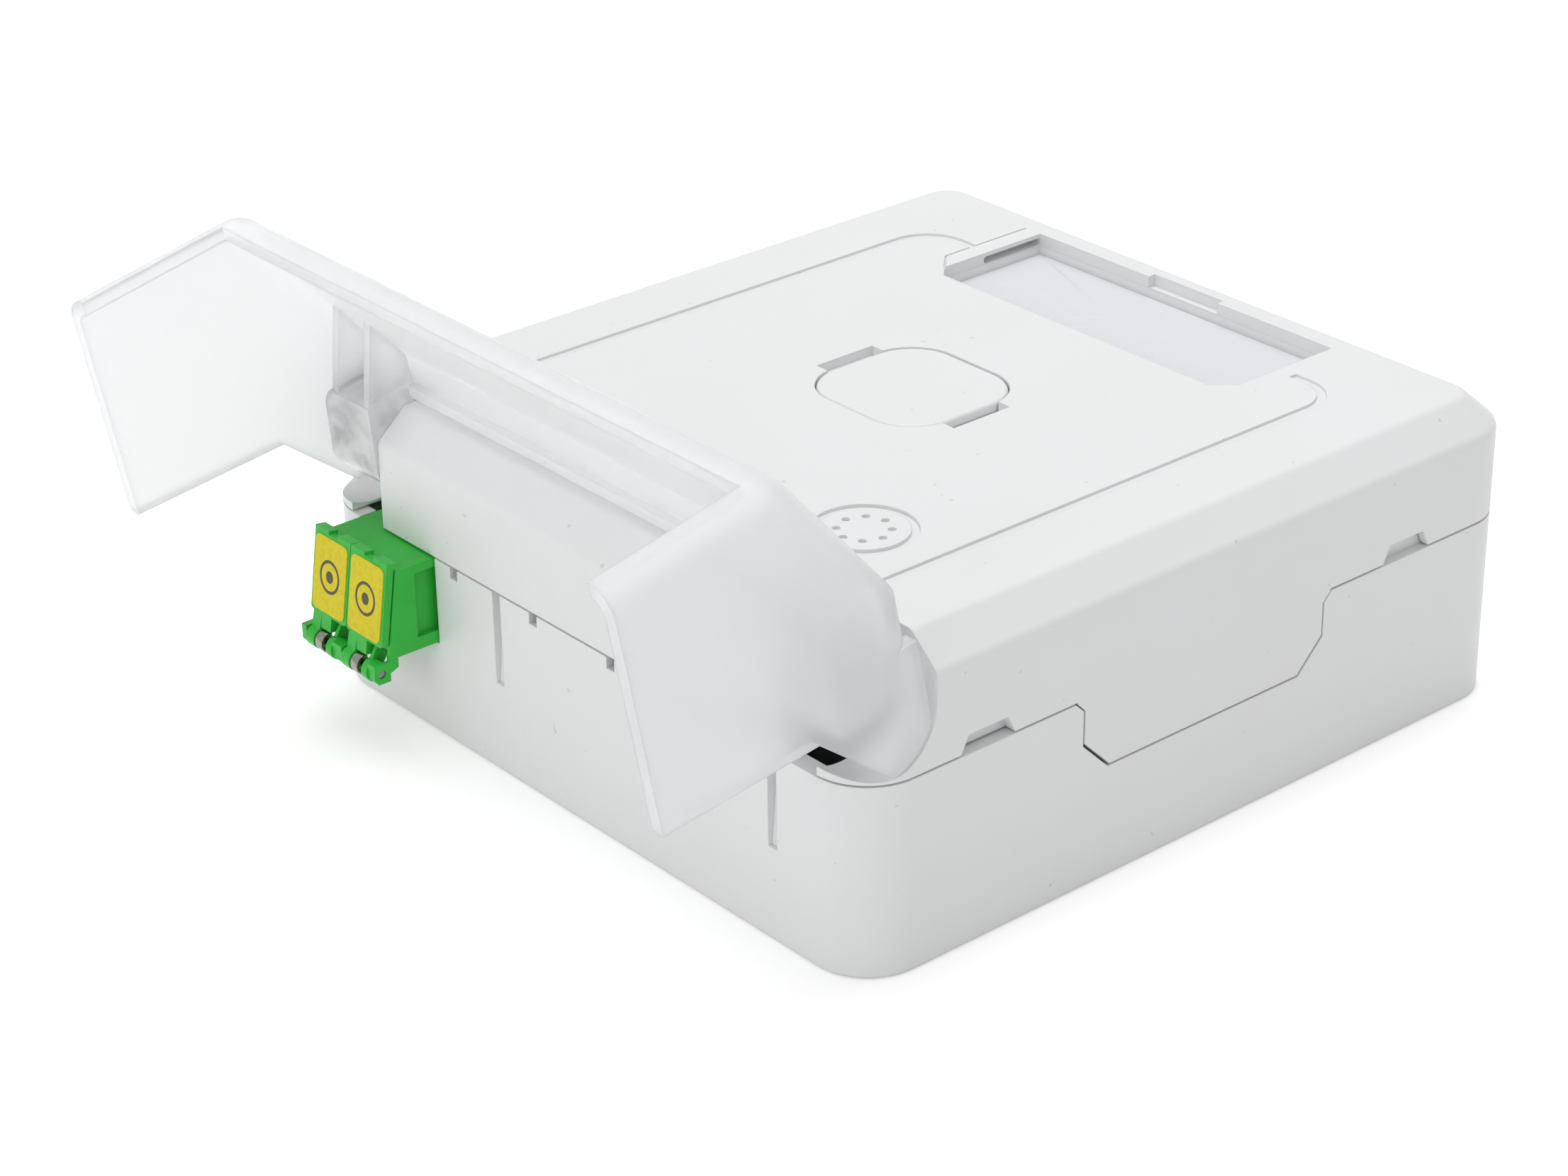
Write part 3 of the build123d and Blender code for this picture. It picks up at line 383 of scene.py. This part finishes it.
@dataclass(frozen=True)
class FrostedClear:
    """Clear plastic moulded in a lightly frosted tool, with a faint milky body, bright rims from a
    painted highlight, and painted dark streaks of shade on the polished hinge.
    """

    name: str
    colour: Colour
    clearness: float
    roughness: float
    spread: float
    alpha: float
    bending: float = 1.46
    edge: float = 0.2 * MM
    cloud: float = 42.0
    cloud_span: Span = (0.3, 0.7)
    frost: float = 7000.0
    frost_depth: float = 0.01 * MM
    frost_strength: float = 0.1
    coat_roughness: float = 0.06
    hinge: Vector | None = None
    hinge_start: float = 30.4 * MM
    hinge_end: float = 38.9 * MM
    hinge_radius: float = 5.0 * MM
    hinge_fade: float = 10.0 * MM
    polish: float = 0.1
    wave: float = 380.0
    wave_depth: float = 0.5 * MM
    wave_strength: float = 0.6
    wave_span: Span = (0.38, 0.62)
    # Painted shade: dark streaks in the colour of the polished hinge blocks, set by their share, reach,
    # side weights and colour.
    shade_streak_share: Span = (0.15, 0.85)
    shade_streak_reach: float = 10.0 * MM
    shade_streak_sides: Span = (1.0, 0.25)
    shade_streak_colour: Colour = (0.5, 0.51, 0.52, 1.0)
    # Painted highlight along the rims: its reach, lean, share and pale colour.
    rim: float = 0.0
    rim_lean: Span = (0.99, 0.8)
    rim_highlight_share: float = 0.85
    rim_highlight_colour: Colour = (0.885, 0.893, 0.91, 1.0)

    def make(self) -> bpy.types.Material:
        """Builds the material.

        Returns:
            The material.
        """
        sheet = new_sheet(self.name)
        cloud = sheet.noise(self.cloud, detail=3.0)
        rough_span = (self.roughness - self.spread, self.roughness + self.spread)
        rough = sheet.ramp(cloud, self.cloud_span, rough_span)
        frost = sheet.noise(self.frost)
        normal = sheet.bump(frost, self.frost_depth, self.frost_strength, sheet.softened(self.edge))
        colour, alpha, coat = self.colour, self.alpha, 0.0
        if self.hinge is not None:
            across, out, up = sheet.axes(sheet.place(self.hinge))
            coat = self.polished(sheet, across, sheet.length(out, up))
            waves = sheet.noise(self.wave, detail=1.0)
            rough = rough - coat * (rough - self.polish)
            normal = sheet.bump(waves * coat, self.wave_depth, self.wave_strength, normal)
            # Painted shade: dark streaks along the waves are painted into the colour of the polished
            # hinge blocks, stronger towards negative X.
            shade_side_weight = sheet.ramp(across, (-self.shade_streak_reach, self.shade_streak_reach), self.shade_streak_sides)
            shade_streaks = coat * sheet.ramp(waves, self.wave_span, self.shade_streak_share) * shade_side_weight
            colour = sheet.blend(shade_streaks, colour, self.shade_streak_colour)
        # Painted highlight: a pale colour is blended into the rims, which are also made opaque, to stand
        # in for light caught along the edges.
        if self.rim:
            edge = self.edges(sheet)
            colour = sheet.blend(edge * self.rim_highlight_share, colour, self.rim_highlight_colour)
            alpha = self.alpha + edge * (1.0 - self.alpha)
        return sheet.finish(
            Base_Color=colour,
            Roughness=rough,
            Coat_Weight=coat,
            Coat_Roughness=self.coat_roughness,
            IOR=self.bending,
            Transmission_Weight=self.clearness,
            Alpha=alpha,
            Normal=normal,
        )

    def polished(self, sheet: ShaderSheet, across: Signal, distance: Signal) -> Signal:
        """Share of polish round the hinge, inside the arms.

        Args:
            sheet: The material's sheet.
            across: The place along the hinge's axis, from its middle.
            distance: The distance from that axis.

        Returns:
            1 on the hinge blocks and 0 on the frosted faces.
        """
        near = sheet.ramp(distance, (self.hinge_radius, self.hinge_fade), (1.0, 0.0))
        return near * (abs(across) < self.hinge_end) * (abs(across) > self.hinge_start)

    def edges(self, sheet: ShaderSheet) -> Signal:
        """Share of painted rim highlight, from how far the rounded normal leans away from the face.

        Args:
            sheet: The material's sheet.

        Returns:
            1 along the edges and 0 on the faces.
        """
        lean = sheet.node(
            "ShaderNodeVectorMath",
            {"operation": "DOT_PRODUCT"},
            in0=sheet.softened(self.rim),
            in1=sheet.node("ShaderNodeNewGeometry").outputs["True Normal"],
        )
        return sheet.ramp(Signal(sheet, lean.outputs["Value"]), self.rim_lean)


@dataclass(frozen=True)
class PrintedFilm:
    """Yellow film with a ring and a dot printed in dark grey, and a fine paper tooth."""

    name: str
    centre: Vector
    tilt: float
    film: Colour = (0.74, 0.625, 0.014, 1.0)
    worn: Colour = (0.66, 0.54, 0.012, 1.0)
    stain: float = 1600.0
    stain_span: Span = (0.42, 0.7)
    ink: Colour = (0.035, 0.04, 0.04, 1.0)
    ink_share: float = 0.94
    ring: float = 1.55 * MM
    line: float = 0.16 * MM
    dot: float = 0.62 * MM
    ragged: float = 5200.0
    ragged_reach: float = 0.05 * MM
    tooth: float = 16000.0
    tooth_depth: float = 0.01 * MM
    tooth_strength: float = 0.15
    roughness: float = 0.55
    ink_gloss: float = 0.12
    shine: float = 0.3

    def make(self) -> bpy.types.Material:
        """Builds the material.

        Returns:
            The material.
        """
        sheet = new_sheet(self.name)
        across, _, along = sheet.axes(sheet.place(self.centre, self.tilt))
        wobble = (sheet.noise(self.ragged) - 0.5) * self.ragged_reach
        distance = sheet.length(across, along) + wobble
        ring = abs(distance - self.ring) < self.line
        printed = ring.most(distance < self.dot)
        stain = sheet.ramp(sheet.noise(self.stain, detail=4.0), self.stain_span)
        film = sheet.blend(stain, self.film, self.worn)
        return sheet.finish(
            Base_Color=sheet.blend(printed * self.ink_share, film, self.ink),
            Roughness=self.roughness - printed * self.ink_gloss,
            Specular_IOR_Level=self.shine,
            Normal=sheet.bump(sheet.noise(self.tooth), self.tooth_depth, self.tooth_strength),
        )


@dataclass(frozen=True)
class BareMetal:
    """Drawn or rolled metal with fine lines along one axis."""

    name: str
    colour: Colour
    roughness: float
    stretch: tuple[float, float, float]
    line_span: Span = (0.25, 0.75)
    line_change: Span = (-0.08, 0.1)
    line_depth: float = 0.01 * MM
    line_strength: float = 0.2
    tarnish: float = 2400.0
    tarnish_span: Span = (0.4, 0.8)
    tarnish_share: float = 0.7

    def make(self) -> bpy.types.Material:
        """Builds the material.

        Returns:
            The material.
        """
        sheet = new_sheet(self.name)
        mapping = sheet.node("ShaderNodeMapping", Vector=sheet.place(), Scale=self.stretch)
        lines = sheet.noise(1.0, detail=3.0, vector=mapping.outputs["Vector"])
        low, high = self.line_change
        rough = sheet.ramp(lines, self.line_span, (self.roughness + low, self.roughness + high))
        dull = sheet.ramp(sheet.noise(self.tarnish), self.tarnish_span)
        dark = tuple(self.tarnish_share * part for part in self.colour[:3]) + (1.0,)
        return sheet.finish(
            Base_Color=sheet.blend(dull, self.colour, dark),
            Metallic=1.0,
            Roughness=rough,
            Normal=sheet.bump(lines, self.line_depth, self.line_strength),
        )


@dataclass(frozen=True)
class PolishedCeramic:
    """White ceramic of the alignment sleeves."""

    name: str
    colour: Colour
    bloom: float = 3000.0
    bloom_span: Span = (0.3, 0.7)
    bloom_colour: Colour = grey(0.8, 0.04)
    roughness: Span = (0.08, 0.16)
    coat: float = 0.4

    def make(self) -> bpy.types.Material:
        """Builds the material.

        Returns:
            The material.
        """
        sheet = new_sheet(self.name)
        bloom = sheet.noise(self.bloom)
        return sheet.finish(
            Base_Color=sheet.blend(bloom, self.colour, self.bloom_colour),
            Roughness=sheet.ramp(bloom, self.bloom_span, self.roughness),
            Coat_Weight=self.coat,
        )


@dataclass(frozen=True)
class PaperCard:
    """Pale label card with paper fibres."""

    name: str
    colour: Colour
    fibre: Colour
    fibres: float = 5200.0
    fibre_span: Span = (0.35, 0.7)
    fibre_depth: float = 0.02 * MM
    fibre_strength: float = 0.2
    roughness: float = 0.8

    def make(self) -> bpy.types.Material:
        """Builds the material.

        Returns:
            The material.
        """
        sheet = new_sheet(self.name)
        fibres = sheet.noise(self.fibres, detail=6.0)
        return sheet.finish(
            Base_Color=sheet.blend(sheet.ramp(fibres, self.fibre_span), self.colour, self.fibre),
            Roughness=self.roughness,
            Normal=sheet.bump(fibres, self.fibre_depth, self.fibre_strength),
        )


@dataclass(frozen=True)
class PaleGround:
    """Matt ground that looks white except for the box's shadow, and lights the box as plain matt."""

    name: str
    colour: Colour = grey(0.9)
    shade: Colour = grey(0.895)
    speck: float = 120.0
    speck_span: Span = (0.3, 0.7)
    lift: float = 0.32

    def make(self) -> bpy.types.Material:
        """Builds the material.

        Returns:
            The material.
        """
        sheet = new_sheet(self.name)
        speck = sheet.ramp(sheet.noise(self.speck), self.speck_span)
        colour = sheet.blend(speck, self.colour, self.shade)
        matt = sheet.node("ShaderNodeBsdfDiffuse", Color=colour).outputs[0]
        white = sheet.node("ShaderNodeEmission", Strength=self.lift).outputs[0]
        lifted = sheet.node("ShaderNodeAddShader", in0=matt, in1=white).outputs[0]
        mix = sheet.node("ShaderNodeMixShader", in0=sheet.white_rays(), in1=matt, in2=lifted)
        sheet.node("ShaderNodeOutputMaterial", Surface=mix.outputs[0])
        return sheet.owner


def add_object(name: str, data: bpy.types.ID) -> bpy.types.Object:
    """Puts a new object into the scene.

    Args:
        name: Its name.
        data: Its mesh, camera or light.

    Returns:
        The object, at the origin.
    """
    made = bpy.data.objects.new(name, data)
    bpy.context.scene.collection.objects.link(made)
    return made


def dress(node: bpy.types.Object, material: bpy.types.Material) -> None:
    """Gives a CAD node its finish.

    Args:
        node: The node's object.
        material: Its material.
    """
    node.data.materials.clear()
    node.data.materials.append(material)
    LOG.info("dressed %s with %s", node.name, material.name)


def middle(node: str) -> Vector:
    """Centre of a CAD node's box."""
    low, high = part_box(node)
    return (low + high) / 2


def piece_from(
    name: str, form: bmesh.types.BMesh, material: bpy.types.Material, body: Body
) -> bpy.types.Object:
    """Turns a finished bmesh into a piece that rides on a body.

    Args:
        name: The piece's name.
        form: Its shape, in the row frame.
        material: Its finish.
        body: The body it rides on.

    Returns:
        The new object, at the origin.
    """
    bmesh.ops.remove_doubles(form, verts=form.verts, dist=WELD)
    bmesh.ops.recalc_face_normals(form, faces=form.faces)
    mesh = bpy.data.meshes.new(name)
    form.to_mesh(mesh)
    form.free()
    mesh.materials.append(material)
    for face in mesh.polygons:
        face.use_smooth = True
    made = add_object(name, mesh)
    mesh.set_sharp_from_angle(angle=SMOOTH_ANGLE)
    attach(made, body.value)
    LOG.info("made %s on %s", name, body.value)
    return made


@dataclass
class Shells:
    """The white base, cover and centre cap, and the floors of the two upright slots."""

    nodes: dict[str, bpy.types.Object]
    slot_places: tuple[float, ...] = (30.35 * MM, 71.8 * MM)
    slot_width: float = 1.18 * MM
    slot_low: float = 9.71 * MM
    slot_high: float = 19.75 * MM
    slot_low_depth: float = 0.4 * MM
    slot_high_depth: float = 1.3 * MM
    wall: float = 2.0 * MM
    white: MouldedPlastic = MouldedPlastic(
        "white_shell",
        grey(0.83, -0.008),
        grey(0.815, -0.004),
        roughness=0.4,
        grain_strength=0.16,
        speckle=0.25,
    )

    def build(self) -> None:
        """Dresses the shells and gives the slots their floors."""
        material = self.white.make()
        for name in ("base_shell", "top_cover", "centre_cap"):
            dress(self.nodes[name], material)
        for number, place in enumerate(self.slot_places):
            self.floor_slot(number, place, material)

    def floor_slot(self, number: int, place: float, material: bpy.types.Material) -> None:
        """Makes the sloping floor that leaves an upright slot shallow at its lower end.

        Args:
            number: The slot's number, from the left.
            place: Its distance from the left end of the front wall.
            material: The shells' finish.
        """
        corner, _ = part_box("base_shell")
        height = self.slot_high - self.slot_low
        size = (self.slot_width, self.wall - self.slot_low_depth, height)
        form = bmesh.new()
        bmesh.ops.create_cube(form, size=1.0)
        bmesh.ops.scale(form, verts=form.verts, vec=size)
        upper = [vert for vert in form.verts if vert.co.y < 0 < vert.co.z]
        slope = (0, self.slot_high_depth - self.slot_low_depth, 0)
        bmesh.ops.translate(form, verts=upper, vec=slope)
        centre = Vector((place, (self.wall + self.slot_low_depth) / 2, self.slot_low + height / 2))
        bmesh.ops.translate(form, verts=form.verts, vec=Vector((corner.x, corner.y, 0)) + centre)
        made = piece_from(f"slot_floor_{number}", form, material, Body.BASE)


@dataclass
class LabelBay:
    """The card and its clear window."""

    nodes: dict[str, bpy.types.Object]
    card: PaperCard = PaperCard("label_card", (0.86, 0.87, 0.89, 1.0), (0.83, 0.84, 0.865, 1.0))
    window: FrostedClear = FrostedClear(
        "clear_window",
        (0.94, 0.945, 0.955, 1.0),
        clearness=0.0,
        roughness=0.14,
        spread=0.03,
        alpha=0.16,
    )

    def build(self) -> None:
        """Dresses the card and the window."""
        dress(self.nodes["label_card"], self.card.make())
        dress(self.nodes["label_window"], self.window.make())


@dataclass
class Hood:
    """The frosted clear hood."""

    nodes: dict[str, bpy.types.Object]
    frost: FrostedClear = FrostedClear(
        "clear_hood",
        (0.985, 0.99, 0.998, 1.0),
        clearness=0.58,
        roughness=0.36,
        spread=0.05,
        alpha=0.86,
        bending=1.2,
        rim=1.5 * MM,
        hinge=Vector((0.0, -41.3, 26.5)) * MM,
    )

    def build(self) -> None:
        """Dresses the hood."""
        dress(self.nodes["clear_hood"], self.frost.make())


@dataclass
class AdapterSet:
    """The green duplex adapter with its shutters, stickers, springs and sleeves."""

    nodes: dict[str, bpy.types.Object]
    face_tilt: float = math.radians(8.6)
    spring_radius: float = 1.1 * MM
    spring_strip: float = 0.2 * MM
    spring_opening: float = math.radians(75)
    spring_share: float = 0.68
    spring_steps: int = 36
    spring_weld: float = 0.005 * MM
    spring_round: float = 0.04 * MM
    round_steps: int = 2
    sharp_angle: float = 1.0
    green: MouldedPlastic = MouldedPlastic(
        "green_plastic",
        (0.04, 0.52, 0.058, 1.0),
        (0.035, 0.475, 0.052, 1.0),
        roughness=0.34,
        grain=12000.0,
        flow=160.0,
        edge=0.1 * MM,
        glow=0.12,
        shine=0.28,
    )
    steel: BareMetal = BareMetal(
        "spring_steel",
        (0.34, 0.325, 0.3, 1.0),
        roughness=0.24,
        stretch=(300.0, 9000.0, 9000.0),
    )
    ceramic: PolishedCeramic = PolishedCeramic("ceramic", grey(0.88, 0.02))

    def build(self) -> None:
        """Dresses the CAD nodes and makes the springs."""
        green = self.green.make()
        steel = self.steel.make()
        ceramic = self.ceramic.make()
        for name in ("adapter_housing", "shutter_left", "shutter_right"):
            dress(self.nodes[name], green)
        dress(self.nodes["shutter_pin"], steel)
        for side in Side:
            dress(self.nodes[f"sleeve_{side.value}"], ceramic)
            self.print_sticker(side)
            self.coil_spring(side, steel)

    def print_sticker(self, side: Side) -> None:
        """Gives one sticker its film and printed ring.

        Args:
            side: The port it belongs to.
        """
        name = f"sticker_{side.value}"
        film = PrintedFilm(name, middle(name), self.face_tilt)
        dress(self.nodes[name], film.make())

    def coil_spring(self, side: Side, steel: bpy.types.Material) -> None:
        """Makes one curled strip spring round the pin, in place of the CAD node's plain one.

        Args:
            side: The port it closes.
            steel: Its finish.
        """
        node = f"shutter_spring_{side.value}"
        low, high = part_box(node)
        axis = middle("shutter_pin")
        width = (high.x - low.x) * self.spring_share
        form = bmesh.new()
        self.lay_strip(form, width)
        bmesh.ops.spin(
            form,
            geom=form.verts[:] + form.edges[:] + form.faces[:],
            cent=(0, 0, 0),
            axis=(1, 0, 0),
            angle=2 * math.pi - self.spring_opening,
            steps=self.spring_steps,
            use_merge=False,
            use_duplicate=False,
        )
        self.lay_strip(form, width)
        bmesh.ops.remove_doubles(form, verts=form.verts, dist=self.spring_weld)
        shared = [edge for edge in form.edges if len(edge.link_faces) == 2]
        bmesh.ops.bevel(
            form,
            geom=[edge for edge in shared if edge.calc_face_angle(0) > self.sharp_angle],
            offset=self.spring_round,
            affect="EDGES",
            segments=self.round_steps,
            profile=0.5,
            material=-1,
            clamp_overlap=True,
        )
        bmesh.ops.translate(form, verts=form.verts, vec=(low.x + width / 2, axis.y, axis.z))
        made = piece_from(f"spring_band_{side.value}", form, steel, Body.BASE)
        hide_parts(node)

    def lay_strip(self, form: bmesh.types.BMesh, width: float) -> None:
        """Lays the strip's cross-section at the start of its curl.

        Args:
            form: The mesh it goes into.
            width: The strip's width.
        """
        strip = bmesh.ops.create_grid(form, x_segments=1, y_segments=1, size=0.5)["verts"]
        middle_radius = self.spring_radius - self.spring_strip / 2
        start = Matrix.Rotation(self.spring_opening, 3, "X")
        bmesh.ops.scale(form, verts=strip, vec=(width, self.spring_strip, 1.0))
        bmesh.ops.translate(form, verts=strip, vec=(0, middle_radius, 0))
        bmesh.ops.rotate(form, verts=strip, cent=(0, 0, 0), matrix=start)


@dataclass
class InnerFittings:
    """The tray, comb, clamp, carrier and screws inside the box."""

    nodes: dict[str, bpy.types.Object]
    insert: MouldedPlastic = MouldedPlastic("white_insert", grey(0.8), grey(0.77, 0.01), roughness=0.45)
    comb: MouldedPlastic = MouldedPlastic("grey_comb", grey(0.4, -0.01), grey(0.34), roughness=0.7)
    zinc: BareMetal = BareMetal(
        "screw_steel",
        (0.6, 0.59, 0.57, 1.0),
        roughness=0.32,
        stretch=(4000.0, 4000.0, 600.0),
    )

    def build(self) -> None:
        """Dresses the inner nodes."""
        insert = self.insert.make()
        zinc = self.zinc.make()
        for name in ("splice_tray", "cable_clamp", "sleeve_carrier"):
            dress(self.nodes[name], insert)
        dress(self.nodes["splice_comb"], self.comb.make())
        for name in ("tray_screws", "clamp_screws", "cover_screw"):
            dress(self.nodes[name], zinc)


@dataclass(frozen=True)
class Lamp:
    """One soft area lamp."""

    name: str
    place: tuple[float, float, float]
    size: float
    watts: float


@dataclass
class Studio:
    """Camera, lamps, white surround and pale floor."""

    eye: tuple[float, float, float] = (250.3 * MM, -227.2 * MM, 183.2 * MM)
    right: tuple[float, float, float] = (0.6483, 0.7612, -0.0144)
    up: tuple[float, float, float] = (-0.3391, 0.3057, 0.8897)
    back: tuple[float, float, float] = (0.6816, -0.5719, 0.4563)
    focal_pixels: float = 5196.8
    sensor: float = 36.0
    nearest: float = 10.0 * MM
    surround: float = 0.72
    lamps: tuple[Lamp, ...] = (
        Lamp("over_lamp", (-0.15, 0.1, 0.9), size=0.7, watts=3.8),
        Lamp("front_lamp", (0.12, -0.9, 0.35), size=0.5, watts=1.5),
    )
    floor_radius: float = 3.0
    floor_sides: int = 96
    floor_drop: float = 0.2 * MM
    ground: PaleGround = PaleGround("pale_floor")

    def build(self) -> None:
        """Sets up the camera, the light and the floor."""
        self.set_camera()
        self.set_world()
        for lamp in self.lamps:
            self.hang(lamp)
        self.lay_floor()
        bpy.context.scene.view_settings.view_transform = "Standard"

    def set_camera(self) -> None:
        """Puts the camera where the photograph was taken from."""
        data = bpy.data.cameras.new("photo_camera")
        data.sensor_width = self.sensor
        data.lens = self.focal_pixels * self.sensor / PHOTO_WIDTH
        data.clip_start = self.nearest
        camera = add_object("photo_camera", data)
        turn = Matrix((self.right, self.up, self.back)).transposed()
        camera.matrix_world = Matrix.Translation(self.eye) @ turn.to_4x4()
        bpy.context.scene.camera = camera
        LOG.info("camera for a frame of %d by %d", PHOTO_WIDTH, PHOTO_HEIGHT)

    def set_world(self) -> None:
        """White to the camera, in mirrors and through clear plastic, and a soft grey light elsewhere."""
        world = bpy.data.worlds.new("surround")
        sheet = ShaderSheet(world)
        strength = sheet.ramp(sheet.white_rays(), (0.0, 1.0), (self.surround, 1.0))
        light = sheet.node("ShaderNodeBackground", Strength=strength)
        sheet.node("ShaderNodeOutputWorld", Surface=light.outputs[0])
        bpy.context.scene.world = world

    def hang(self, lamp: Lamp) -> None:
        """Hangs one lamp and points it at the box.

        Args:
            lamp: The lamp.
        """
        data = bpy.data.lights.new(lamp.name, "AREA")
        data.shape = "DISK"
        data.size = lamp.size
        data.energy = lamp.watts
        made = add_object(lamp.name, data)
        made.location = lamp.place
        made.rotation_mode = "QUATERNION"
        made.rotation_quaternion = (-Vector(lamp.place)).to_track_quat("-Z", "Y")

    def lay_floor(self) -> None:
        """Lays a pale floor just under the box."""
        form = bmesh.new()
        bmesh.ops.create_circle(form, cap_ends=True, segments=self.floor_sides, radius=self.floor_radius)
        mesh = bpy.data.meshes.new("pale_floor")
        form.to_mesh(mesh)
        form.free()
        mesh.materials.append(self.ground.make())
        floor = add_object("pale_floor", mesh)
        floor.location.z = -self.floor_drop


def main() -> None:
    """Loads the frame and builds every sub-assembly."""
    logging.basicConfig(level=logging.INFO, format="%(name)s: %(message)s")
    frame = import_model()
    nodes = frame["nodes"]
    Studio().build()
    for part in (Shells(nodes), LabelBay(nodes), Hood(nodes), AdapterSet(nodes), InnerFittings(nodes)):
        part.build()
        LOG.info("finished %s", type(part).__name__)


if __name__ == "__main__":
    main()
